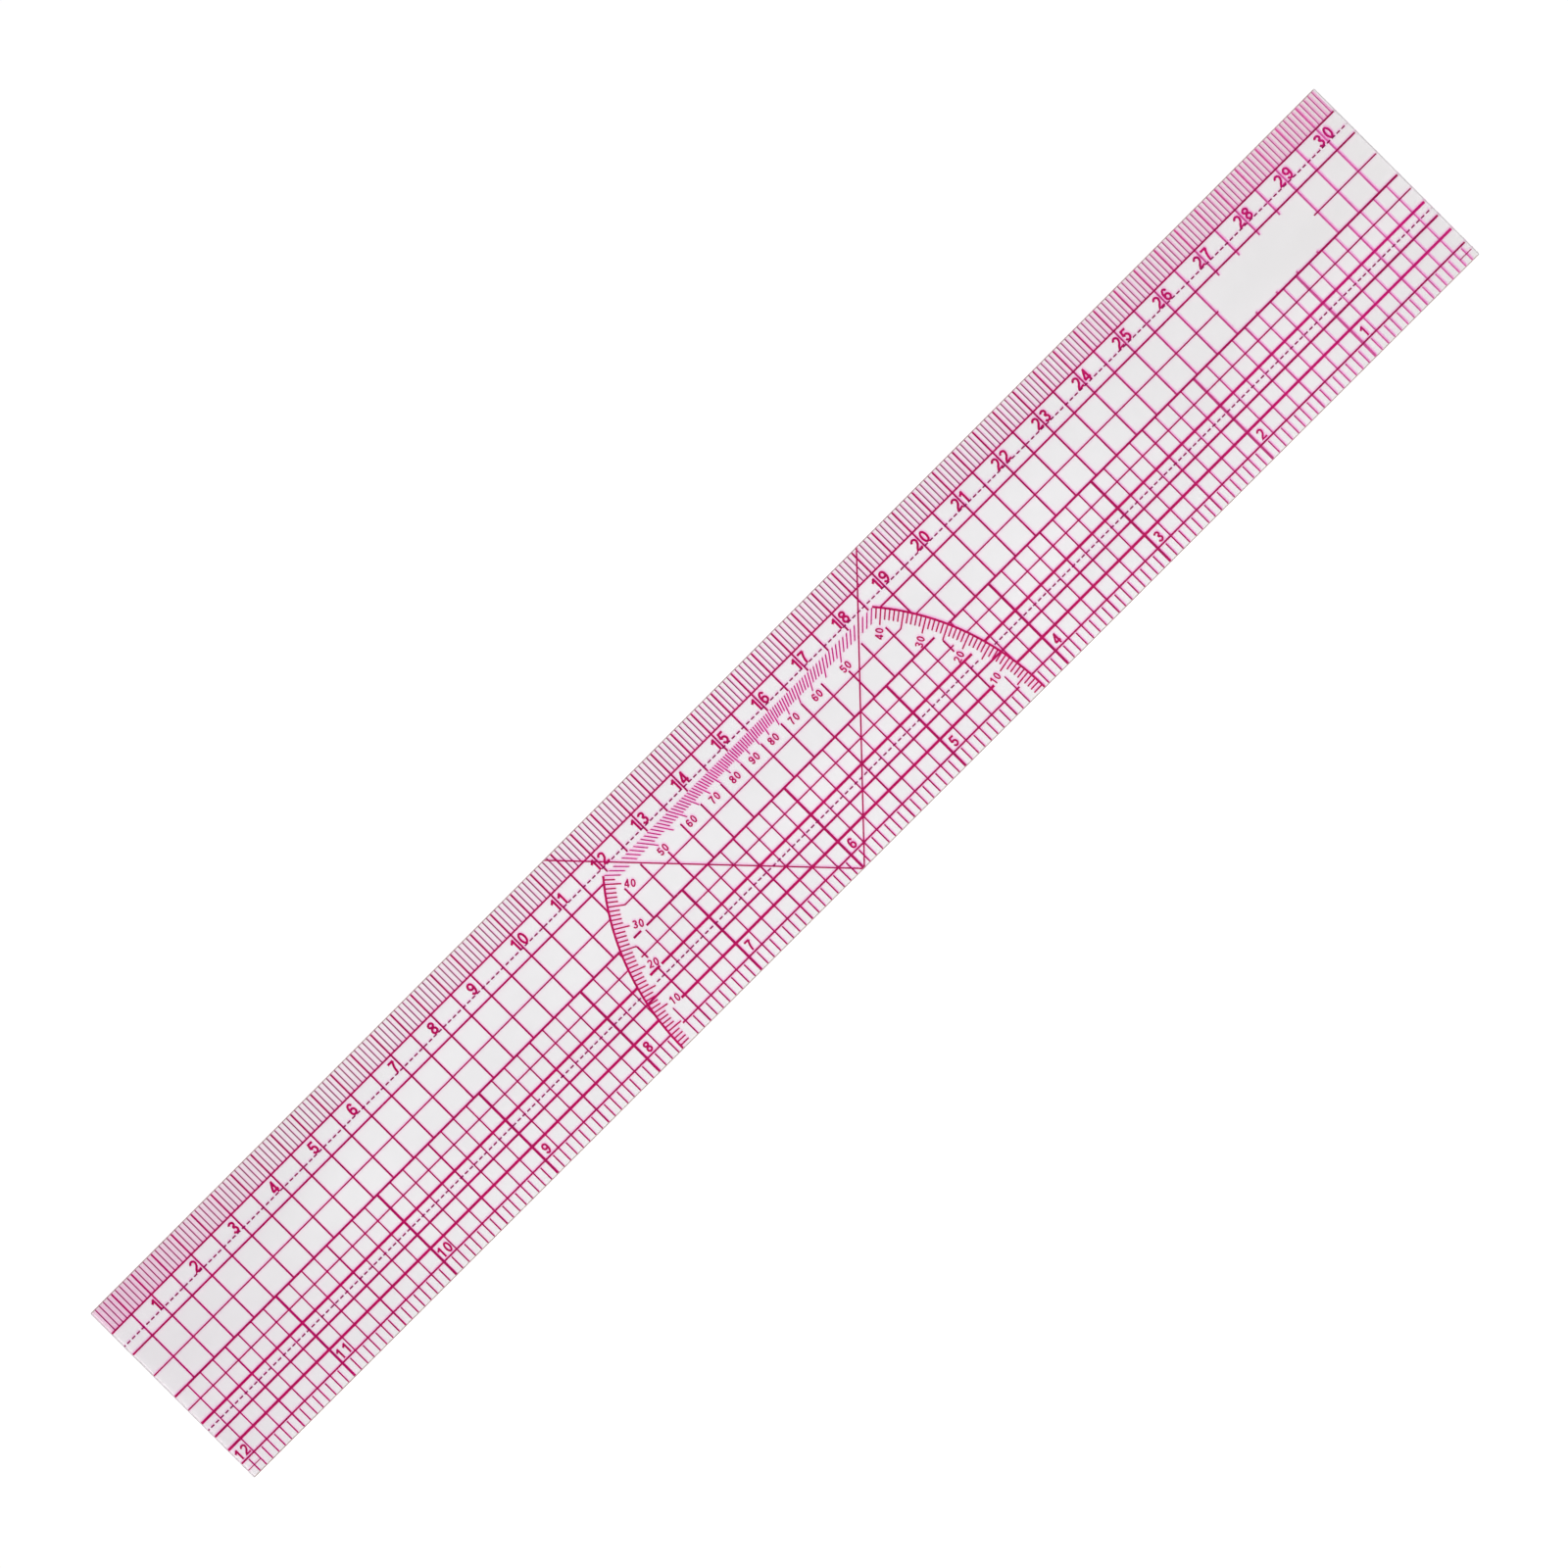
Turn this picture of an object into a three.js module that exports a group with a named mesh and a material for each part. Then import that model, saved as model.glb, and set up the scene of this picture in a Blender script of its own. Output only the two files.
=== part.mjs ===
// A clear, flexible sewing ruler: two clear plastic sheets laminated over a printed scale.
// The frame: X runs along the ruler, from the centimetre zero to the inch zero, Y across it
// towards the centimetre edge, and Z up from the face that rests on the table. Millimetres.

import * as THREE from 'three';

// Driving dimensions.
const INCH = 25.4;
const LENGTH = 12 * INCH;
const METRIC_WIDTH = 20;
const INCH_WIDTH = 0.75 * INCH;
const WIDTH = METRIC_WIDTH + INCH_WIDTH;
const THICKNESS = 1;
const FILM = 0.02; // thickness of one film of ink
const FILMS = 3;
const SHEET = (THICKNESS - FILMS * FILM) / 2;
const PRINT_MARGIN = 0.1; // the ink stops this far inside the outline

// Widths of the printed lines.
const TICK_LINE = 0.21; // the millimetre ticks only
const FINE_LINE = 0.27;
const LIGHT_LINE = 0.33;
const MEDIUM_LINE = 0.35;
const STRONG_LINE = 0.41;
const HEAVY_LINE = 0.49;

// The protractor's centre is on the inch edge, at the middle of the ruler.
const ARC_RADIUS = 45;
const DEGREE_TICK = 2;
const FIVE_DEGREE_TICK = 3;
const INNER_RADIUS = ARC_RADIUS - FIVE_DEGREE_TICK; // the grid starts again inside this circle
const LAST_ARC_DEGREE = 41; // above it, the degree scale leaves the arc for a straight band
const BAND_TOP = 9; // the band's limits, from the centimetre edge
const BAND_BOTTOM = 12;

// The patch of the centimetre grid that is left blank for a label, in mm on its scale.
const PATCH_START = 265;
const PATCH_END = 290;
const PATCH_STUB = 0.9;
const PATCH_OVERRUN = 0.5;

const HALF_LENGTH = LENGTH / 2;
const METRIC_EDGE = WIDTH / 2;
const INCH_EDGE = -WIDTH / 2;
const PRINT_END = HALF_LENGTH - PRINT_MARGIN;
const EIGHTH = INCH / 8;

const fromMetricEdge = (distance) => METRIC_EDGE - distance;
const fromInchEdge = (distance) => INCH_EDGE + distance;
const millimetreX = (millimetres) => -HALF_LENGTH + millimetres;
const inchX = (inches) => HALF_LENGTH - inches * INCH;
const circleX = (radius, y) => Math.sqrt(radius ** 2 - (y - INCH_EDGE) ** 2);
const circleY = (radius, x) => INCH_EDGE + Math.sqrt(radius ** 2 - x ** 2);

const CLEAR = { color: 0xecebec, roughness: 0.15, metalness: 0, transparent: true, opacity: 0.2 };
const INK = { color: 0xb4004c, roughness: 0.5, metalness: 0 };

const ruler = new THREE.Group();

function range(first, last, step = 1) {
  const values = [];
  for (let value = first; value <= last; value += step) values.push(value);
  return values;
}

function addMesh(name, geometry, material, z) {
  const mesh = new THREE.Mesh(geometry, new THREE.MeshStandardMaterial(material));
  mesh.name = name;
  mesh.position.z = z;
  ruler.add(mesh);
}

function addSheet(name, bottom) {
  addMesh(name, new THREE.BoxGeometry(LENGTH, WIDTH, SHEET), CLEAR, bottom + SHEET / 2);
}

// The ink. Lines that cross lie in different films, one on the other: film 0 holds the
// crosswise lines, film 1 the lengthwise ones and film 2 the angles.
function addInk(name, points, film) {
  const shape = new THREE.Shape(points.map(([x, y]) => new THREE.Vector2(x, y)));
  const geometry = new THREE.ExtrudeGeometry(shape, { depth: FILM, bevelEnabled: false });
  addMesh(name, geometry, INK, SHEET + film * FILM);
}

// A lengthwise line at y with crosswise lines, the teeth, above and below it. Each tooth is
// { x, width, tip }, and teeth run from left to right.
function addComb(name, y, width, start, end, above, below) {
  const outlineOf = (teeth, root) =>
    teeth.flatMap(({ x, width: across, tip }) => [
      [x - across / 2, root],
      [x - across / 2, tip],
      [x + across / 2, tip],
      [x + across / 2, root],
    ]);
  const top = y + width / 2;
  const bottom = y - width / 2;
  const upperSide = [[start, top], ...outlineOf(above, top), [end, top]];
  const lowerSide = [[start, bottom], ...outlineOf(below, bottom), [end, bottom]];
  addInk(name, [...upperSide, ...lowerSide.reverse()], 0);
}

function addLine(name, y, width, start, end) {
  const top = y + width / 2;
  const bottom = y - width / 2;
  addInk(name, [[start, bottom], [start, top], [end, top], [end, bottom]], 1);
}

// The centimetre scale: the line 5 mm from the edge, with a tick up to the edge at each
// millimetre and a line down through the grid at each fifth one.

function millimetreTick(millimetres) {
  const width = millimetres % 5 === 0 ? MEDIUM_LINE : TICK_LINE;
  return { x: millimetreX(millimetres), width, tip: fromMetricEdge(PRINT_MARGIN) };
}

function gridLineTip(millimetres) {
  const x = Math.abs(millimetreX(millimetres));
  if (x < circleX(ARC_RADIUS, fromMetricEdge(BAND_TOP))) return fromMetricEdge(BAND_TOP);
  if (x < circleX(ARC_RADIUS, fromMetricEdge(METRIC_WIDTH))) return circleY(ARC_RADIUS, x);
  const isOverPatch = millimetres > PATCH_START && millimetres < PATCH_END;
  return fromMetricEdge(isOverPatch ? 10 + PATCH_STUB : METRIC_WIDTH);
}

function gridLine(millimetres) {
  return { x: millimetreX(millimetres), width: MEDIUM_LINE, tip: gridLineTip(millimetres) };
}

function addCentimetreScale() {
  const ticks = range(1, 304).map(millimetreTick);
  const gridLines = range(5, 300, 5).map(gridLine);
  addComb('centimetre_scale', fromMetricEdge(5), LIGHT_LINE, -PRINT_END, PRINT_END, ticks, gridLines);
}

// The centimetre grid inside the protractor, where the lines under the numbers 40 and 50
// start lower than the rest. On the left, the number 30 cuts the 20 mm line.

const ROOM_FOR_40 = { top: 13, beyond: 30 };
const ROOM_FOR_50 = { top: 13.8, from: 22, to: 23 };
const CUT_FOR_30 = { start: -35.6, end: -34.25 };

function innerGridLine(millimetres) {
  const x = millimetreX(millimetres);
  const fromMiddle = Math.abs(x);
  let top = BAND_BOTTOM;
  if (fromMiddle > ROOM_FOR_40.beyond) top = ROOM_FOR_40.top;
  if (fromMiddle > ROOM_FOR_50.from && fromMiddle < ROOM_FOR_50.to) top = ROOM_FOR_50.top;
  return { x, width: MEDIUM_LINE, tip: fromMetricEdge(top) };
}

function addInnerCentimetreGrid() {
  const y = fromMetricEdge(METRIC_WIDTH);
  const end = circleX(INNER_RADIUS, y);
  const gridLines = range(120, 185, 5).map(innerGridLine);
  addComb('centimetre_grid_middle', y, STRONG_LINE, CUT_FOR_30.end, end, gridLines, []);
  addComb('line_20_mm_stub', y, STRONG_LINE, -end, CUT_FOR_30.start, [], []);
}

// The inch grid: the line 3/8 inch from the edge, and the line that crosses it at each
// eighth of an inch. Beside the middle, the degree scale and its numbers cut some of them.

const INCH_SPINE = 3 * EIGHTH;
const GRID_TOP = INCH_WIDTH - STRONG_LINE / 2; // the underside of the 20 mm line
const FOOT_OF_20 = 4 * EIGHTH;
const GAP_UNDER_30 = 0.2;

const eighthsFromMiddle = ({ x }) => Math.round(Math.abs(x) / EIGHTH);
// This one starts below the number 10, and so doesn't reach the 3/8 inch line.
const reachesSpine = (line) => eighthsFromMiddle(line) !== 13;

function crossLine(eighths) {
  let width = FINE_LINE;
  if (eighths % 4 === 0) width = MEDIUM_LINE;
  if (eighths % 8 === 0) width = HEAVY_LINE;
  return { x: inchX(eighths / 8), width };
}

function upperPart(line) {
  const isUnder20 = eighthsFromMiddle(line) === 12;
  const isUnderLeft30 = eighthsFromMiddle(line) === 11 && line.x < 0;
  let tip = GRID_TOP;
  if (isUnder20) tip = FOOT_OF_20;
  if (isUnderLeft30) tip = GRID_TOP - GAP_UNDER_30;
  return { ...line, tip: fromInchEdge(tip) };
}

function lowerPart(line) {
  const fromMiddle = Math.abs(line.x);
  const meetsArc = fromMiddle > INNER_RADIUS && fromMiddle < ARC_RADIUS;
  return { ...line, tip: meetsArc ? circleY(ARC_RADIUS, line.x) : fromInchEdge(PRINT_MARGIN) };
}

function addInchGrid() {
  const lines = range(1, 95).reverse().map(crossLine).filter(reachesSpine);
  const upper = lines.map(upperPart);
  const lower = lines.map(lowerPart);
  addComb('inch_grid', fromInchEdge(INCH_SPINE), STRONG_LINE, -PRINT_END, PRINT_END, upper, lower);
}

// The lengthwise lines. Most are broken by the degree scale, and go on inside it.

function addOuterLines(name, y, width, rightEnd = PRINT_END) {
  const arc = circleX(ARC_RADIUS, y);
  addLine(`${name}_left`, y, width, -PRINT_END, -arc);
  addLine(`${name}_right`, y, width, arc, rightEnd);
}

function addMiddleLine(name, y, width, end = circleX(INNER_RADIUS, y)) {
  addLine(`${name}_middle`, y, width, -end, end);
}

// On the left, the number 20 cuts this one.
function addCutMiddleLine(name, y, width, cut) {
  const end = circleX(INNER_RADIUS, y);
  addLine(`${name}_stub`, y, width, -end, cut.start);
  addLine(`${name}_middle`, y, width, cut.end, end);
}

function addLengthwiseLines() {
  const besidePatch = millimetreX(PATCH_START) + PATCH_OVERRUN;
  const afterPatch = millimetreX(PATCH_END) - PATCH_STUB;
  const besideNumber10 = 12.25 * EIGHTH;
  const besideNumber20 = { start: -37.6, end: -37.15 };

  addOuterLines('line_10_mm', fromMetricEdge(10), MEDIUM_LINE);

  addOuterLines('line_15_mm', fromMetricEdge(15), FINE_LINE, besidePatch);
  addLine('line_15_mm_end', fromMetricEdge(15), FINE_LINE, afterPatch, PRINT_END);
  addMiddleLine('line_15_mm', fromMetricEdge(15), FINE_LINE);

  addOuterLines('line_20_mm', fromMetricEdge(METRIC_WIDTH), STRONG_LINE);

  addOuterLines('line_5_8_inch', fromInchEdge(5 * EIGHTH), FINE_LINE);
  addMiddleLine('line_5_8_inch', fromInchEdge(5 * EIGHTH), FINE_LINE);

  addOuterLines('line_4_8_inch', fromInchEdge(4 * EIGHTH), HEAVY_LINE);
  addCutMiddleLine('line_4_8_inch', fromInchEdge(4 * EIGHTH), HEAVY_LINE, besideNumber20);

  addOuterLines('line_2_8_inch', fromInchEdge(2 * EIGHTH), HEAVY_LINE);
  addMiddleLine('line_2_8_inch', fromInchEdge(2 * EIGHTH), HEAVY_LINE, besideNumber10);

  addOuterLines('line_1_8_inch', fromInchEdge(EIGHTH), LIGHT_LINE);
  addMiddleLine('line_1_8_inch', fromInchEdge(EIGHTH), LIGHT_LINE);
}

// The protractor: on each side an arc with a tick inwards at each degree, and two lines at
// 45 degrees from its centre.

const ARC_STEP = 2; // degrees between the corners of the arc's outer side

function polar(radius, angle) {
  return [radius * Math.cos(angle), INCH_EDGE + radius * Math.sin(angle)];
}

function degreeTick(degree) {
  const angle = THREE.MathUtils.degToRad(degree);
  const root = ARC_RADIUS - STRONG_LINE / 2;
  const tip = ARC_RADIUS - (degree % 5 === 0 ? FIVE_DEGREE_TICK : DEGREE_TICK);
  const across = (radius) => FINE_LINE / 2 / radius;
  return [
    polar(root, angle - across(root)),
    polar(tip, angle - across(tip)),
    polar(tip, angle + across(tip)),
    polar(root, angle + across(root)),
  ];
}

function arcOutline() {
  const start = Math.asin(PRINT_MARGIN / ARC_RADIUS);
  const end = Math.asin((fromMetricEdge(BAND_TOP) - INCH_EDGE) / ARC_RADIUS);
  const outer = ARC_RADIUS + STRONG_LINE / 2;
  const inner = ARC_RADIUS - STRONG_LINE / 2;
  const corners = range(ARC_STEP, LAST_ARC_DEGREE - 1, ARC_STEP).map(THREE.MathUtils.degToRad);
  const outerSide = [start, ...corners, end].map((angle) => polar(outer, angle));
  const ticks = range(1, LAST_ARC_DEGREE).flatMap(degreeTick);
  const innerSide = [polar(inner, start), ...ticks, polar(inner, end)];
  return [...outerSide, ...innerSide.reverse()];
}

function addProtractor() {
  const outline = arcOutline();
  addInk('protractor_right', outline, 2);
  addInk('protractor_left', outline.map(([x, y]) => [-x, y]), 2);
}

function addAngleLines() {
  const reach = WIDTH - PRINT_MARGIN;
  const beside = FINE_LINE / 2 / Math.cos(Math.PI / 4);
  const top = METRIC_EDGE - PRINT_MARGIN;
  const points = [
    [beside, INCH_EDGE],
    [reach + beside, top],
    [reach - beside, top],
    [0, INCH_EDGE + beside],
    [beside - reach, top],
    [-reach - beside, top],
    [-beside, INCH_EDGE],
  ];
  addInk('angle_lines_45', points, 2);
}

addSheet('lower_sheet', 0);
addSheet('upper_sheet', THICKNESS - SHEET);
addCentimetreScale();
addInnerCentimetreGrid();
addInchGrid();
addLengthwiseLines();
addProtractor();
addAngleLines();

export default ruler;
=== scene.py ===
"""The looks of a clear quilting ruler: two clear sheets laminated over a crimson printed scale.

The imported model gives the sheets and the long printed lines. This script adds what is too fine for
it, which is the numbers, dashes, sixteenth-inch ticks and the straight part of the degree scale. It
gives the sheets their trimmed edges, and sets every material, the light and the camera.
Print is laid out in millimetres, and meshes are made in metres.
"""

import math

import bpy
from mathutils import Matrix, Vector, geometry


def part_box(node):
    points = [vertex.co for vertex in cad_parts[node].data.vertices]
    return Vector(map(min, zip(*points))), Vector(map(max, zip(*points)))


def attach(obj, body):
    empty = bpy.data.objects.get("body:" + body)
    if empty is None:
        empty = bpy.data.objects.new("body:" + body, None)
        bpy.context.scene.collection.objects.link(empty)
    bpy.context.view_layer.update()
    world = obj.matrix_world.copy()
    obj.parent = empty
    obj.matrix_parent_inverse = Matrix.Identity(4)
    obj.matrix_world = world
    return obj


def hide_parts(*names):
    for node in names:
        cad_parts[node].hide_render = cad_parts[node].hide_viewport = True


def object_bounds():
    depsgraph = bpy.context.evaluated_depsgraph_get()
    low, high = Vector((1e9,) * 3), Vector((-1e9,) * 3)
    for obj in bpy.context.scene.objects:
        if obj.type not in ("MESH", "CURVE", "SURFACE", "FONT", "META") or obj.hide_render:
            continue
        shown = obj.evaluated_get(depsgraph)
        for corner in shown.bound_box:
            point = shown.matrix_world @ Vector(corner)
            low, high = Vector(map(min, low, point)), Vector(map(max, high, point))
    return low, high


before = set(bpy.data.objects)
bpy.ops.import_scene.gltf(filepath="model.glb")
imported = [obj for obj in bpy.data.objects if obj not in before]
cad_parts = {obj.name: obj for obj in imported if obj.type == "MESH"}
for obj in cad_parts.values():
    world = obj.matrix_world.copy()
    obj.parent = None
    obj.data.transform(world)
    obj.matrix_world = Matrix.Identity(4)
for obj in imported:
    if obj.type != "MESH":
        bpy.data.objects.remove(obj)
cad_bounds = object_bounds()

MM = 0.001
INCH = 25.4
EIGHTH = INCH / 8
SIXTEENTH = INCH / 16

LOW, HIGH = (corner / MM for corner in cad_bounds)
LEFT, RIGHT = LOW.x, HIGH.x
INCH_EDGE, METRIC_EDGE = LOW.y, HIGH.y
WIDTH = METRIC_EDGE - INCH_EDGE
PRINT_MARGIN = 0.1


def film_of(node):
    """The bottom and top of a flat node."""
    low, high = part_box(node)
    return low.z / MM, high.z / MM


def width_of(line):
    """The width of a lengthwise line."""
    low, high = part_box(line)
    return (high.y - low.y) / MM


CROSS_FILM = film_of("centimetre_scale")
LENGTH_FILM = film_of("line_10_mm_left")
ANGLE_FILM = film_of("protractor_left")

FINE = width_of("line_15_mm_left")
LIGHT = width_of("line_1_8_inch_left")
MEDIUM = width_of("line_10_mm_left")
STRONG = width_of("line_20_mm_left")


def from_metric_edge(distance):
    return METRIC_EDGE - distance


def from_inch_edge(distance):
    return INCH_EDGE + distance


def millimetre_x(millimetres):
    return LEFT + millimetres


def inch_x(inches):
    return RIGHT - inches * INCH


# ---------------------------------------------------------------- printed shapes

MERGE = 1e-5  # corners closer than this are one


def union(shapes):
    """Points and triangles that cover the shapes, which may overlap. Each lists its corners anticlockwise."""
    corners, faces = [], []
    for shape in shapes:
        faces.append(list(range(len(corners), len(corners) + len(shape))))
        corners += [Vector(corner) for corner in shape]
    points, _, triangles, _, _, sources = geometry.delaunay_2d_cdt(corners, [], faces, 1, MERGE)
    return points, [triangle for triangle, source in zip(triangles, sources) if source]


def print_film(name, shapes, film):
    """A closed film of ink, one object, in the outline of all the shapes together."""
    points, triangles = union(shapes)
    count = len(points)
    vertices = [(p.x * MM, p.y * MM, z * MM) for z in film for p in points]
    faces = [tuple(reversed(triangle)) for triangle in triangles]
    faces += [tuple(corner + count for corner in triangle) for triangle in triangles]
    sides = {(a, b) for t in triangles for a, b in zip(t, (*t[1:], t[0]))}
    faces += [(a, b, b + count, a + count) for a, b in sorted(sides) if (b, a) not in sides]
    mesh = bpy.data.meshes.new(name)
    mesh.from_pydata(vertices, [], faces)
    piece = bpy.data.objects.new(name, mesh)
    bpy.context.collection.objects.link(piece)
    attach(piece, "root")
    return piece


def rectangle(left, right, bottom, top):
    return [(left, bottom), (right, bottom), (right, top), (left, top)]


def upright(x, width, bottom, top):
    return rectangle(x - width / 2, x + width / 2, bottom, top)


# ---------------------------------------------------------------- numerals

STROKE = 0.185  # of a numeral's height
HALF_STROKE = STROKE / 2
MITRE_LIMIT = 1.6


def arc(centre, radii, start, end, steps=14):
    """Points along an ellipse, from one angle to another in degrees."""
    angles = [math.radians(start + (end - start) * i / steps) for i in range(steps + 1)]
    return [(centre[0] + radii[0] * math.cos(a), centre[1] + radii[1] * math.sin(a)) for a in angles]


def ribbon(path, width):
    """The four-cornered pieces of a stroke of even width along a path."""
    points = [Vector(point) for point in path]
    closed = (points[0] - points[-1]).length < MERGE
    if closed:
        points.pop()
    count = len(points)
    steps = [(points[(i + 1) % count] - points[i]).normalized() for i in range(count)]
    sides = []
    for i, point in enumerate(points):
        before = steps[i - 1] if closed or i > 0 else steps[i]
        after = steps[i] if closed or i < count - 1 else steps[i - 1]
        across = (before + after).normalized().orthogonal()
        reach = min(1 / max(across.dot(after.orthogonal()), 0.01), MITRE_LIMIT)
        sides.append((point + across * reach * width / 2, point - across * reach * width / 2))
    last = count if closed else count - 1
    pairs = [(sides[i], sides[(i + 1) % count]) for i in range(last)]
    return [[right, ahead_right, ahead_left, left] for (left, right), (ahead_left, ahead_right) in pairs]


def numeral_strokes():
    """The strokes of each numeral, for a height of 1 and a width of about 0.6."""
    low, high = HALF_STROKE, 1 - HALF_STROKE
    left, middle, right = HALF_STROKE, 0.3, 0.6 - HALF_STROKE
    wide = (right - left) / 2
    bowl = arc((middle, 0.315), (wide, 0.315 - low), 0, 360, 28)
    back = arc((middle + 0.02, 0.5), (wide + 0.02, high - 0.5), 180, 35)
    six = [bowl, [(left, 0.315), *back]]
    return {
        "0": [arc((middle, 0.5), (wide, high - 0.5), 0, 360, 32)],
        "1": [
            [(0.38, 0), (0.38, 1)],
            [(0.36, high), (0.29, 0.84), (0.2, 0.765), (0.1, 0.715)],
        ],
        "2": [
            [
                *arc((middle, 0.7), (wide, high - 0.7), 172, -25),
                (0.42, 0.44),
                (0.2, 0.24),
                (0.09, low),
                (0.6, low),
            ]
        ],
        "3": [
            arc((0.29, 0.735), (0.2, high - 0.735), 165, -90),
            arc((0.29, 0.29), (wide, 0.29 - low), 90, -168),
            [(0.22, 0.527), (0.3, 0.527)],
        ],
        "4": [
            [(0.43, 0), (0.43, 1)],
            [(0.44, 0.95), (0.05, 0.3)],
            [(0, 0.265), (0.6, 0.265)],
        ],
        "5": [
            [(0.56, high), (0.15, high), (0.085, 0.5)],
            arc((0.29, 0.33), (wide, 0.33 - low), 150, -168, 18),
        ],
        "6": six,
        "7": [
            [(0.02, high), (0.56, high)],
            [(0.55, high), (0.43, 0.76), (0.33, 0.55), (0.26, 0.3), (0.23, 0)],
        ],
        "8": [
            arc((middle, 0.74), (0.2, high - 0.74), 0, 360, 24),
            arc((middle, 0.29), (wide, 0.29 - low), 0, 360, 28),
        ],
        "9": [[(0.6 - x, 1 - y) for x, y in stroke] for stroke in six],
    }


def numeral_shapes():
    shapes = {}
    for numeral, strokes in numeral_strokes().items():
        pieces = [piece for stroke in strokes for piece in ribbon(stroke, STROKE)]
        points, triangles = union(pieces)
        shapes[numeral] = [[points[corner] for corner in triangle] for triangle in triangles]
    return shapes


NUMERALS = numeral_shapes()
NUMERAL_WIDTH = 0.6
NUMERAL_RIGHT = {"1": 0.44}  # the right side of a numeral that is narrower
NUMERAL_LEFT = {"1": 0.08}
NUMERAL_STEP = 0.76  # from one numeral to the next


def numeral(character, height, corner, turn=0.0):
    """A numeral's shapes, with its lower left corner at a point, turned about it by an angle in degrees."""
    cosine, sine = math.cos(math.radians(turn)), math.sin(math.radians(turn))
    placed = []
    for shape in NUMERALS[character]:
        points = [(p.x * height, p.y * height) for p in shape]
        placed.append(
            [(corner[0] + x * cosine - y * sine, corner[1] + x * sine + y * cosine) for x, y in points]
        )
    return placed


def number(text, height, centre, turn=0.0):
    """A whole number, centred on a point."""
    width = (NUMERAL_STEP * (len(text) - 1) + NUMERAL_WIDTH) * height
    cosine, sine = math.cos(math.radians(turn)), math.sin(math.radians(turn))
    shapes = []
    for i, character in enumerate(text):
        x, y = NUMERAL_STEP * height * i - width / 2, -height / 2
        corner = (centre[0] + x * cosine - y * sine, centre[1] + x * sine + y * cosine)
        shapes += numeral(character, height, corner, turn)
    return shapes


# ---------------------------------------------------------------- the printed scale

METRIC_NUMERAL = 2.3
METRIC_NUMERAL_FOOT = 8
GAPS_BEFORE_LINE = (0.4, 0.3, 0.6, 0.58, 0.63, 1.0, 0.4, 0.7, 0.9)  # for 1 to 9
GAP_BEFORE_LINE = {"1": 0.45, "2": 0.25, "3": 0.35}  # for the tens of 10 to 30
GAP_AFTER_LINE = 0.4


def left_of(x, gap, character):
    right = NUMERAL_RIGHT.get(character, NUMERAL_WIDTH) * METRIC_NUMERAL
    return numeral(character, METRIC_NUMERAL, (x - gap - right, from_metric_edge(METRIC_NUMERAL_FOOT)))


def right_of(x, gap, character):
    left = NUMERAL_LEFT.get(character, 0) * METRIC_NUMERAL
    return numeral(character, METRIC_NUMERAL, (x + gap - left, from_metric_edge(METRIC_NUMERAL_FOOT)))


def centimetre_numbers():
    """1 to 9 stand left of their lines, and the two numerals of 10 to 30 on both sides of theirs."""
    shapes = []
    for centimetre in range(1, 31):
        x = millimetre_x(10 * centimetre)
        text = str(centimetre)
        if centimetre < 10:
            shapes += left_of(x, GAPS_BEFORE_LINE[centimetre - 1], text)
        else:
            shapes += left_of(x, GAP_BEFORE_LINE[text[0]], text[0])
            shapes += right_of(x, GAP_AFTER_LINE, text[1])
    return print_film("centimetre_numbers", shapes, CROSS_FILM)


INCH_NUMERAL = 2.0
INCH_NUMERAL_ROW = 1.42 * EIGHTH  # from the inch edge to the middle of the numbers


def inch_numbers():
    """Each number is centred in the eighth-inch cell on the right of its line."""
    shapes = []
    for inches in range(1, 13):
        centre = (inch_x(inches) + EIGHTH / 2, from_inch_edge(INCH_NUMERAL_ROW))
        shapes += number(str(inches), INCH_NUMERAL, centre)
    return print_film("inch_numbers", shapes, ANGLE_FILM)


ARC_RADIUS = 45
INNER_RADIUS = 42
DEGREE_TICK = 1.95
FIFTH_DEGREE_TICK = 2.9
BAND_LINE = 0.24
BAND_TOP = WIDTH - 9.05  # the height of the degree scale's straight part above the inch edge
ANGLE_NUMERAL = 1.45
ANGLE_NUMERAL_RADIUS = 40.5
ANGLE_NUMERAL_ROW = from_metric_edge(12.95)


def angle_numbers():
    """10 to 40 run along their radii, and 50 to 90 stand upright under the straight scale."""
    shapes = []
    for degrees in (10, 20, 30, 40):
        along = ANGLE_NUMERAL_RADIUS * math.cos(math.radians(degrees))
        height = ANGLE_NUMERAL_RADIUS * math.sin(math.radians(degrees))
        for side in (-1, 1):
            centre = (side * along, from_inch_edge(height))
            shapes += number(str(degrees), ANGLE_NUMERAL, centre, side * degrees)
    for degrees in (50, 60, 70, 80, 90):
        x = (BAND_TOP - FIFTH_DEGREE_TICK) / math.tan(math.radians(degrees))
        for side in (-1, 1) if degrees < 90 else (1,):
            shapes += number(str(degrees), ANGLE_NUMERAL, (side * x, ANGLE_NUMERAL_ROW))
    return print_film("angle_numbers", shapes, ANGLE_FILM)


def degree_band():
    """The ticks at 42 to 138 degrees, which lie in a straight band. The 45 degree lines stand for two."""
    shapes = []
    for degrees in range(42, 139):
        if degrees in (45, 135):
            continue
        bottom = BAND_TOP - (FIFTH_DEGREE_TICK if degrees % 5 == 0 else DEGREE_TICK)
        slope = 1 / math.tan(math.radians(degrees))
        half = BAND_LINE / 2 / math.sin(math.radians(degrees))
        shapes.append(
            [
                (bottom * slope - half, from_inch_edge(bottom)),
                (bottom * slope + half, from_inch_edge(bottom)),
                (BAND_TOP * slope + half, from_inch_edge(BAND_TOP)),
                (BAND_TOP * slope - half, from_inch_edge(BAND_TOP)),
            ]
        )
    return print_film("degree_band", shapes, ANGLE_FILM)


DASH_STEP = 1.2
DASH = 0.8


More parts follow.
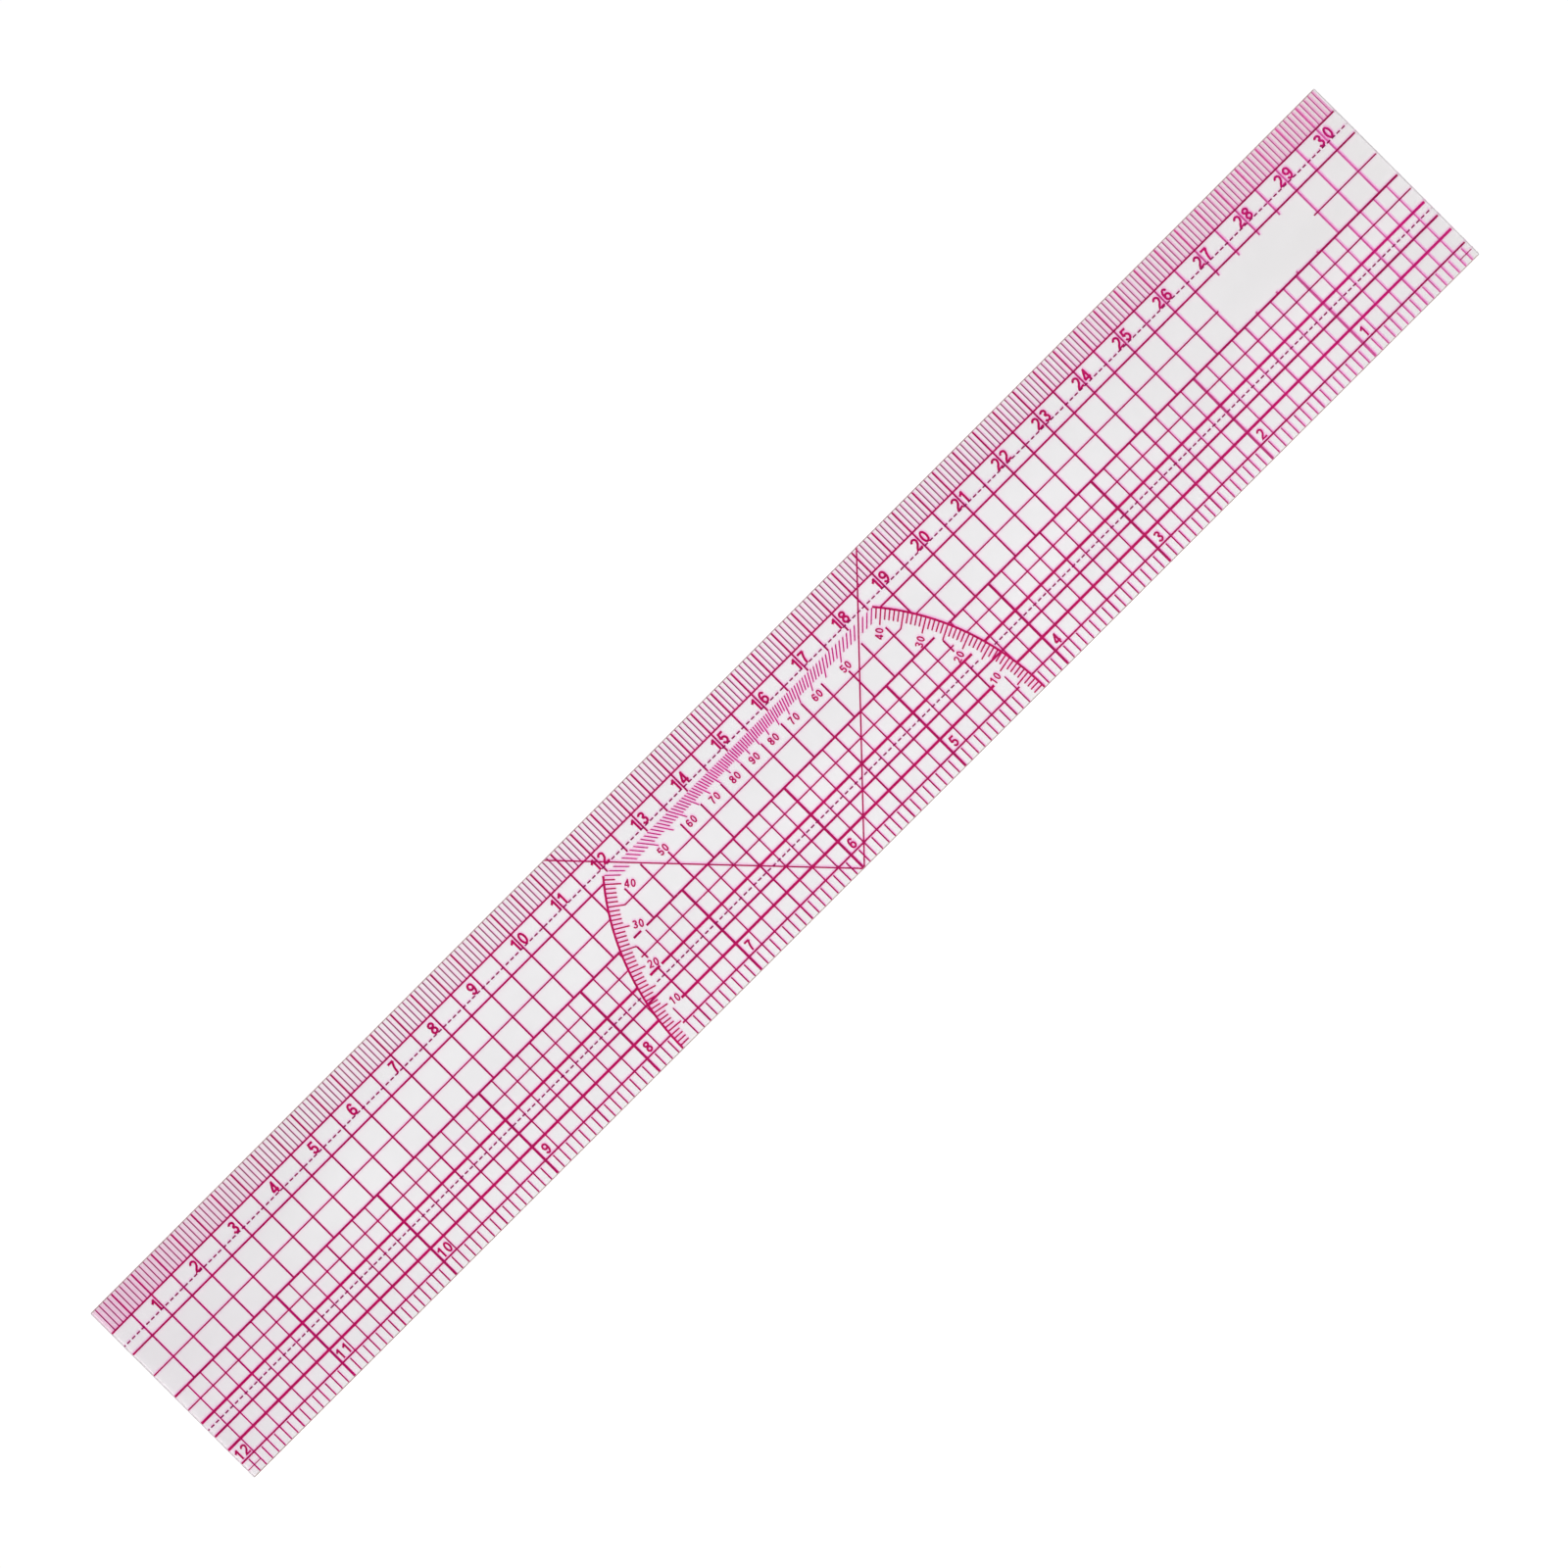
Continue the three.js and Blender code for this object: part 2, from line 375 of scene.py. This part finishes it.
def is_in_ring(x, height):
    """Whether a point at a height above the inch edge is among the degree ticks."""
    return INNER_RADIUS < math.hypot(x, height) < ARC_RADIUS


def dashes(name, height, is_broken):
    """A dashed line at a height above the inch edge. A broken one leaves out the degree ticks."""
    shapes = []
    y = from_inch_edge(height)
    for i in range(round((RIGHT - LEFT) / DASH_STEP) + 1):
        x = LEFT + i * DASH_STEP
        start = max(x - DASH / 2, LEFT + PRINT_MARGIN)
        end = min(x + DASH / 2, RIGHT - PRINT_MARGIN)
        if is_broken and (is_in_ring(start, height) or is_in_ring(end, height)):
            continue
        shapes.append(rectangle(start, end, y - FINE / 2, y + FINE / 2))
    return print_film(name, shapes, LENGTH_FILM)


SIXTEENTH_TICK = EIGHTH - 0.3


def sixteenth_ticks():
    """The odd sixteenths of an inch, apart from those under the degree ticks."""
    shapes = []
    for sixteenths in range(1, 192, 2):
        x = inch_x(sixteenths / 16)
        if INNER_RADIUS < abs(x) < ARC_RADIUS:
            continue
        shapes.append(upright(x, FINE, from_inch_edge(PRINT_MARGIN), from_inch_edge(SIXTEENTH_TICK)))
    return print_film("sixteenth_ticks", shapes, CROSS_FILM)


END_RULING = 0.16


def end_rulings():
    """The sixteenth-inch line, printed only in the last cell at each end."""
    shapes = []
    y = from_inch_edge(SIXTEENTH)
    for start, end in ((LEFT + PRINT_MARGIN, LEFT + EIGHTH), (RIGHT - EIGHTH, RIGHT - PRINT_MARGIN)):
        shapes.append(rectangle(start, end, y - END_RULING / 2, y + END_RULING / 2))
    return print_film("end_rulings", shapes, LENGTH_FILM)


PATCH_STUB = 0.5  # what is left of a 5 mm line under the blank patch
UNDER_NUMBER_10 = 2 * EIGHTH - 0.2  # heights above the inch edge
OVER_NUMBER_20 = 15.05


def short_rulings():
    """The loose ends of grid lines round the blank patch and the degree scale."""
    grid_foot = from_metric_edge(20)
    shapes = [
        upright(millimetre_x(at), MEDIUM, grid_foot, grid_foot + PATCH_STUB) for at in range(270, 290, 5)
    ]
    for side in (-1, 1):
        x = side * 13 * EIGHTH
        shapes.append(upright(x, FINE, from_inch_edge(PRINT_MARGIN), from_inch_edge(UNDER_NUMBER_10)))
        arc_height = math.sqrt(ARC_RADIUS**2 - x**2)
        shapes.append(upright(x, FINE, from_inch_edge(arc_height), grid_foot))
        x = side * 12 * EIGHTH
        inner_height = math.sqrt(INNER_RADIUS**2 - x**2)
        shapes.append(upright(x, MEDIUM, from_inch_edge(OVER_NUMBER_20), from_inch_edge(inner_height)))
    return print_film("short_rulings", shapes, CROSS_FILM)


# ---------------------------------------------------------------- the clear sheets

EDGE_ROUND = 0.2
CORNER_RADIUS = 0.25
CORNER_STEPS = 6
EDGE_STEPS = 4
CLEARANCE = 0.005  # between the sheets and the ink, so that no two faces share a plane
RECESS = PRINT_MARGIN - CLEARANCE

FLAT, BONDED, TRIMMED = range(3)  # a sheet's faces, in the order of its materials


def sheet_outline(inset):
    """The ruler's outline, set in by a distance, with slightly rounded corners."""
    radius = max(CORNER_RADIUS - inset, 0.02)
    points = []
    for turn, (x, y) in enumerate(((1, 1), (-1, 1), (-1, -1), (1, -1))):
        centre = (x * (RIGHT - inset - radius), y * (METRIC_EDGE - inset - radius))
        points += arc(centre, (radius, radius), 90 * turn, 90 * turn + 90, CORNER_STEPS)
    return points


def rounded_wall(start, end):
    """Insets and heights along a wall that is sharp where it starts and rounded where it ends."""
    inward = math.copysign(EDGE_ROUND, end - start)
    levels = [(0, start)]
    for i in range(EDGE_STEPS + 1):
        angle = math.pi / 2 * i / EDGE_STEPS
        levels.append((EDGE_ROUND * (1 - math.cos(angle)), end - inward * (1 - math.sin(angle))))
    return levels


def clear_sheet(name, node, levels):
    """A closed sheet through outlines at the levels, which run from the bottom to the top."""
    vertices = [(x * MM, y * MM, z * MM) for inset, z in levels for x, y in sheet_outline(inset)]
    count = len(vertices) // len(levels)
    faces = [tuple(reversed(range(count)))]
    for start in range(0, len(vertices) - count, count):
        for i in range(count):
            j = (i + 1) % count
            faces.append((start + i, start + j, start + j + count, start + i + count))
    faces.append(tuple(range(len(vertices) - count, len(vertices))))
    mesh = bpy.data.meshes.new(name)
    mesh.from_pydata(vertices, [], faces)
    for face in mesh.polygons:
        heights = [mesh.vertices[corner].co.z / MM for corner in face.vertices]
        if min(heights) > CROSS_FILM[0] - 0.01 and max(heights) < ANGLE_FILM[1] + 0.01:
            face.material_index = BONDED
        elif abs(face.normal.z) < 0.99:
            face.material_index = TRIMMED
    piece = bpy.data.objects.new(name, mesh)
    bpy.context.collection.objects.link(piece)
    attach(piece, "root")
    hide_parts(node)
    return piece


def lower_sheet():
    """The sheet that rests on the table. Its upper face is let in under the ink."""
    low, high = film_of("lower_sheet")
    levels = [*reversed(rounded_wall(high, low)), (RECESS, high), (RECESS, high - CLEARANCE)]
    return clear_sheet("sheet_below", "lower_sheet", levels)


def upper_sheet():
    """The cover sheet. Round the ink, its rim reaches down to the lower sheet."""
    low, high = film_of("upper_sheet")
    rim = CROSS_FILM[0]
    levels = [(RECESS, low + CLEARANCE), (RECESS, rim), *rounded_wall(rim, high)]
    return clear_sheet("sheet_above", "upper_sheet", levels)


# ---------------------------------------------------------------- materials

# Colours at the left end, in the middle and at the right end of the ruler.
CROSSWISE = ((0.46, 0.0, 0.14), (0.38, 0.0, 0.09), (0.65, 0.12, 0.37))
LENGTHWISE = ((0.38, 0.0, 0.08), (0.39, 0.0, 0.085), (0.31, 0.0, 0.07))
HEAVY = ((0.43, 0.0, 0.09), (0.44, 0.0, 0.09), (0.5, 0.0, 0.15))
TICKS = ((0.32, 0.0, 0.12), (0.23, 0.0, 0.08), (0.52, 0.08, 0.3))
DASHED = ((0.25, 0.0, 0.08), (0.25, 0.0, 0.08), (0.25, 0.0, 0.08))
DEGREES = ((0.52, 0.0, 0.2), (0.52, 0.0, 0.2), (0.52, 0.0, 0.2))
INK_SHADOW = (1.0, 0.62, 0.9)
# The clear sheets pass less light towards both ends than in the middle: painted shade of the light falling
# off along the ruler.
CLEAR = ((0.848, 0.832, 0.846), (0.863, 0.859, 0.865), (0.858, 0.848, 0.851))
# Pink and darker in the strip of millimetre ticks, most of all at the ends: a painted tinted shadow of the
# ticks on the table.
PAINTED_TICK_SHADOW = ((0.838, 0.715, 0.786), (0.869, 0.86, 0.86), (0.837, 0.778, 0.79))
BONDED_CLEAR = ((0.995, 0.995, 0.995), (0.995, 0.995, 0.995), (0.995, 0.995, 0.995))
TICK_STRIP = (from_metric_edge(2.5), 5)  # the middle and width of the strip of millimetre ticks
CENTIMETRE_SPINE = (from_metric_edge(5), LIGHT)
MIDDLE_SPINE = (from_metric_edge(20), STRONG)
INCH_SPINE = (from_inch_edge(3 * EIGHTH), STRONG)


def new_material(name):
    material = bpy.data.materials.new(name)
    material.use_nodes = True
    material.node_tree.nodes.clear()
    return material, material.node_tree.nodes, material.node_tree.links


def object_noise(nodes, links, scale, detail, stretch=(1, 1, 1)):
    """Noise fixed to the object, with its scale in repeats per metre."""
    place = nodes.new("ShaderNodeTexCoord")
    mapping = nodes.new("ShaderNodeMapping")
    mapping.inputs["Scale"].default_value = stretch
    noise = nodes.new("ShaderNodeTexNoise")
    noise.inputs["Scale"].default_value = scale
    noise.inputs["Detail"].default_value = detail
    links.new(place.outputs["Object"], mapping.inputs["Vector"])
    links.new(mapping.outputs["Vector"], noise.inputs["Vector"])
    return noise.outputs["Fac"]


def remap(nodes, links, value, from_range, to_range):
    node = nodes.new("ShaderNodeMapRange")
    node.inputs["From Min"].default_value, node.inputs["From Max"].default_value = from_range
    node.inputs["To Min"].default_value, node.inputs["To Max"].default_value = to_range
    links.new(value, node.inputs["Value"])
    return node.outputs["Result"]


def object_axes(nodes, links):
    """The three coordinates of a point on the ruler, in metres."""
    place = nodes.new("ShaderNodeTexCoord")
    axes = nodes.new("ShaderNodeSeparateXYZ")
    links.new(place.outputs["Object"], axes.inputs["Vector"])
    return axes.outputs


def along_ruler(nodes, links, colours):
    """A colour for each place along the ruler, from those at the left end, the middle and the right end."""
    left, middle, right = colours
    axes = object_axes(nodes, links)
    ramp = nodes.new("ShaderNodeValToRGB")
    links.new(remap(nodes, links, axes["X"], (LEFT * MM, RIGHT * MM), (0, 1)), ramp.inputs["Fac"])
    first, last = ramp.color_ramp.elements
    first.color, last.color = (*left, 1), (*right, 1)
    for position in (0.15, 0.75):
        ramp.color_ramp.elements.new(position).color = (*middle, 1)
    return ramp.outputs["Color"]


def arithmetic(nodes, links, operation, value, *numbers):
    node = nodes.new("ShaderNodeMath")
    node.operation = operation
    links.new(value, node.inputs[0])
    for socket, number in zip(node.inputs[1:], numbers):
        socket.default_value = number
    return node.outputs["Value"]


def in_strip(nodes, links, y, width):
    """1 inside a lengthwise strip and 0 outside it, in millimetres."""
    return arithmetic(nodes, links, "COMPARE", object_axes(nodes, links)["Y"], y * MM, width / 2 * MM)


def off_fifths(nodes, links):
    """0 on the 5 mm lines of the millimetre scale and 1 between them."""
    along = arithmetic(nodes, links, "SUBTRACT", object_axes(nodes, links)["X"], LEFT * MM)
    beside = arithmetic(nodes, links, "PINGPONG", along, 2.5 * MM)
    return arithmetic(nodes, links, "GREATER_THAN", beside, MEDIUM * MM)


def blend(nodes, links, share, first, second):
    """The first colour, or the share of the second that takes its place."""
    node = nodes.new("ShaderNodeMix")
    node.data_type = "RGBA"
    links.new(share, node.inputs["Factor"])
    links.new(first, node.inputs["A"])
    links.new(second, node.inputs["B"])
    return node.outputs["Result"]


def ink_material(name, colours, spine=None, has_ticks=False):
    """Printing ink, opaque to the eye, that tints the light which reaches the table through it.

    The spine of a comb, given as its place and width, and the fine ticks have colours of their own.
    """
    material, nodes, links = new_material(name)
    colour = along_ruler(nodes, links, colours)
    if has_ticks:
        ticks = blend(nodes, links, off_fifths(nodes, links), colour, along_ruler(nodes, links, TICKS))
        colour = blend(nodes, links, in_strip(nodes, links, *TICK_STRIP), colour, ticks)
    if spine:
        spine_colour = along_ruler(nodes, links, LENGTHWISE)
        colour = blend(nodes, links, in_strip(nodes, links, *spine), colour, spine_colour)
    tint = nodes.new("ShaderNodeHueSaturation")
    links.new(colour, tint.inputs["Color"])
    mottle = object_noise(nodes, links, 900, 4)
    links.new(remap(nodes, links, mottle, (0.3, 0.7), (0.86, 1.14)), tint.inputs["Value"])
    surface = nodes.new("ShaderNodeBsdfPrincipled")
    surface.inputs["Roughness"].default_value = 0.6
    surface.inputs["Specular IOR Level"].default_value = 0.1
    links.new(tint.outputs["Color"], surface.inputs["Base Color"])
    passed = nodes.new("ShaderNodeBsdfTransparent")
    passed.inputs["Color"].default_value = (*INK_SHADOW, 1)
    path = nodes.new("ShaderNodeLightPath")
    split = nodes.new("ShaderNodeMixShader")
    links.new(path.outputs["Is Shadow Ray"], split.inputs["Fac"])
    links.new(surface.outputs["BSDF"], split.inputs[1])
    links.new(passed.outputs["BSDF"], split.inputs[2])
    output = nodes.new("ShaderNodeOutputMaterial")
    links.new(split.outputs["Shader"], output.inputs["Surface"])
    return material


def clear_material(name, passes, gloss, painted_tick_shadow=None):
    """Clear plastic that passes shares of each colour, and in the strip of millimetre ticks a pink, darker
    painted shadow of the ticks.

    With gloss, the outside of the face also mirrors, between fine scratches.
    """
    material, nodes, links = new_material(name)
    output = nodes.new("ShaderNodeOutputMaterial")
    window = nodes.new("ShaderNodeBsdfTransparent")
    cloud = nodes.new("ShaderNodeHueSaturation")
    colour = along_ruler(nodes, links, passes)
    # In the tick strip the sheet takes the colour of the painted pink shadow of the ticks.
    if painted_tick_shadow:
        strip = in_strip(nodes, links, *TICK_STRIP)
        colour = blend(nodes, links, strip, colour, along_ruler(nodes, links, painted_tick_shadow))
    links.new(colour, cloud.inputs["Color"])
    cloudiness = object_noise(nodes, links, 60, 5, (0.4, 1, 1))
    links.new(remap(nodes, links, cloudiness, (0.3, 0.7), (0.992, 1.008)), cloud.inputs["Value"])
    links.new(cloud.outputs["Color"], window.inputs["Color"])
    if not gloss:
        links.new(window.outputs["BSDF"], output.inputs["Surface"])
        return material
    shine = nodes.new("ShaderNodeBsdfGlossy")
    scratches = object_noise(nodes, links, 400, 6, (0.15, 2, 1))
    links.new(remap(nodes, links, scratches, (0.35, 0.75), (0.05, 0.16)), shine.inputs["Roughness"])
    bump = nodes.new("ShaderNodeBump")
    bump.inputs["Strength"].default_value = 0.15
    bump.inputs["Distance"].default_value = 0.0002
    links.new(object_noise(nodes, links, 25, 2), bump.inputs["Height"])
    links.new(bump.outputs["Normal"], shine.inputs["Normal"])
    fresnel = nodes.new("ShaderNodeFresnel")
    fresnel.inputs["IOR"].default_value = 1.46
    side = nodes.new("ShaderNodeNewGeometry")
    outside = arithmetic(nodes, links, "LESS_THAN", side.outputs["Backfacing"], 0.5)
    share = nodes.new("ShaderNodeMath")
    share.operation = "MULTIPLY"
    links.new(fresnel.outputs["Fac"], share.inputs[0])
    links.new(outside, share.inputs[1])
    surface = nodes.new("ShaderNodeMixShader")
    links.new(share.outputs["Value"], surface.inputs["Fac"])
    links.new(window.outputs["BSDF"], surface.inputs[1])
    links.new(shine.outputs["BSDF"], surface.inputs[2])
    links.new(surface.outputs["Shader"], output.inputs["Surface"])
    return material


def grained(nodes, links, grain, dark, light):
    """A colour that a noise moves between a dark one and a light one."""
    shade = nodes.new("ShaderNodeValToRGB")
    first, last = shade.color_ramp.elements
    first.color, last.color = (*dark, 1), (*light, 1)
    links.new(grain, shade.inputs["Fac"])
    return shade.outputs["Color"]


def edge_material():
    """The trimmed edge: matt plastic, painted dark brown-grey in shade along the two scales, and painted
    lighter as lit at the two ends.
    """
    material, nodes, links = new_material("trimmed_edge")
    grain = object_noise(nodes, links, 700, 4)
    shaded_side_colour = grained(nodes, links, grain, (0.25, 0.19, 0.165), (0.42, 0.34, 0.31))
    lit_end_colour = grained(nodes, links, grain, (0.62, 0.58, 0.6), (0.8, 0.76, 0.78))
    from_middle = arithmetic(nodes, links, "ABSOLUTE", object_axes(nodes, links)["X"])
    at_end = arithmetic(nodes, links, "GREATER_THAN", from_middle, (RIGHT - EDGE_ROUND) * MM)
    surface = nodes.new("ShaderNodeBsdfPrincipled")
    # Painted shade along the long sides, and a painted lit colour at the ends.
    links.new(blend(nodes, links, at_end, shaded_side_colour, lit_end_colour), surface.inputs["Base Color"])
    surface.inputs["Roughness"].default_value = 0.5
    surface.inputs["Alpha"].default_value = 0.75
    output = nodes.new("ShaderNodeOutputMaterial")
    links.new(surface.outputs["BSDF"], output.inputs["Surface"])
    return material


def floor_material():
    material, nodes, links = new_material("floor")
    surface = nodes.new("ShaderNodeBsdfDiffuse")
    surface.inputs["Color"].default_value = (0.9, 0.9, 0.9, 1)
    output = nodes.new("ShaderNodeOutputMaterial")
    links.new(surface.outputs["BSDF"], output.inputs["Surface"])
    return material


def dress(piece, *materials):
    """Puts materials in the piece's slots, and leaves its faces' slot numbers as they are."""
    while len(piece.data.materials) < len(materials):
        piece.data.materials.append(None)
    for slot, material in enumerate(materials):
        piece.material_slots[slot].material = material


# ---------------------------------------------------------------- making

cross_ink = ink_material("ink_crosswise", CROSSWISE)
length_ink = ink_material("ink_lengthwise", LENGTHWISE)
heavy_ink = ink_material("ink_heavy", HEAVY)
dash_ink = ink_material("ink_dashes", DASHED)
band_ink = ink_material("ink_degrees", DEGREES)
comb_inks = {
    "centimetre_scale": ink_material("ink_centimetres", CROSSWISE, CENTIMETRE_SPINE, True),
    "centimetre_grid_middle": ink_material("ink_middle", CROSSWISE, MIDDLE_SPINE),
    "inch_grid": ink_material("ink_inches", CROSSWISE, INCH_SPINE),
}

for piece in (centimetre_numbers(), inch_numbers(), angle_numbers()):
    dress(piece, heavy_ink)
for piece in (sixteenth_ticks(), short_rulings()):
    dress(piece, cross_ink)
for piece in (dashes("dashes_8_mm", WIDTH - 8, False), dashes("dashes_7_16_inch", 3.5 * EIGHTH, True)):
    dress(piece, dash_ink)
dress(end_rulings(), length_ink)
dress(degree_band(), band_ink)

for node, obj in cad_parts.items():
    if node in comb_inks:
        dress(obj, comb_inks[node])
    elif node.startswith(("line_4_8", "line_2_8", "protractor")):
        dress(obj, heavy_ink)
    elif not node.endswith("sheet"):
        dress(obj, length_ink)

outer_face = clear_material("clear_plastic", CLEAR, True, PAINTED_TICK_SHADOW)
bonded_face = clear_material("bonded_plastic", BONDED_CLEAR, False)
trimmed_edge = edge_material()
for piece in (lower_sheet(), upper_sheet()):
    dress(piece, outer_face, bonded_face, trimmed_edge)
    piece.visible_shadow = False

# ---------------------------------------------------------------- light, floor and camera

floor_mesh = bpy.data.meshes.new("floor")
FLOOR = 6
floor_mesh.from_pydata(
    [(-FLOOR, -FLOOR, 0), (FLOOR, -FLOOR, 0), (FLOOR, FLOOR, 0), (-FLOOR, FLOOR, 0)], [], [(0, 1, 2, 3)]
)
floor = bpy.data.objects.new("floor", floor_mesh)
bpy.context.collection.objects.link(floor)
floor.location.z = -0.00002
floor.data.materials.append(floor_material())

world = bpy.data.worlds.new("studio")
world.use_nodes = True
world.node_tree.nodes["Background"].inputs["Color"].default_value = (1, 1, 1, 1)
world.node_tree.nodes["Background"].inputs["Strength"].default_value = 0.06
bpy.context.scene.world = world


def softbox(name, place, size, power):
    """A rectangular soft light, in metres and watts, that faces the ruler."""
    data = bpy.data.lights.new(name, "AREA")
    data.shape = "RECTANGLE"
    data.size, data.size_y = size
    data.energy = power
    light = bpy.data.objects.new(name, data)
    light.location = place
    light.rotation_euler = Vector(place).to_track_quat("Z", "X").to_euler()
    bpy.context.collection.objects.link(light)


softbox("key", (0, -0.3, 0.74), (0.4, 0.3), 6.2)
softbox("fill", (0, 0.3, 0.74), (0.4, 0.3), 2.65)

TILT = 18.06  # the right end is nearer to the camera
DISTANCE = 10.95
VIEW_WIDTH = 0.26245
AIM = Vector((0.5, 0, HIGH.z / 2))
camera_data = bpy.data.cameras.new("camera")
camera_data.sensor_width = 36
camera_data.lens = 36 * DISTANCE / VIEW_WIDTH
camera_data.clip_end = 2 * DISTANCE
camera = bpy.data.objects.new("camera", camera_data)
bpy.context.collection.objects.link(camera)
toward = Vector((math.sin(math.radians(TILT)), 0, math.cos(math.radians(TILT))))
uphill = Vector((math.cos(math.radians(TILT)), 0, -math.sin(math.radians(TILT))))
up = (uphill + Vector((0, 1, 0))).normalized()
pose = Matrix((up.cross(toward), up, toward)).transposed().to_4x4()
pose.translation = AIM * MM + toward * DISTANCE
camera.matrix_world = pose
bpy.context.scene.camera = camera
bpy.context.scene.view_settings.view_transform = "Standard"
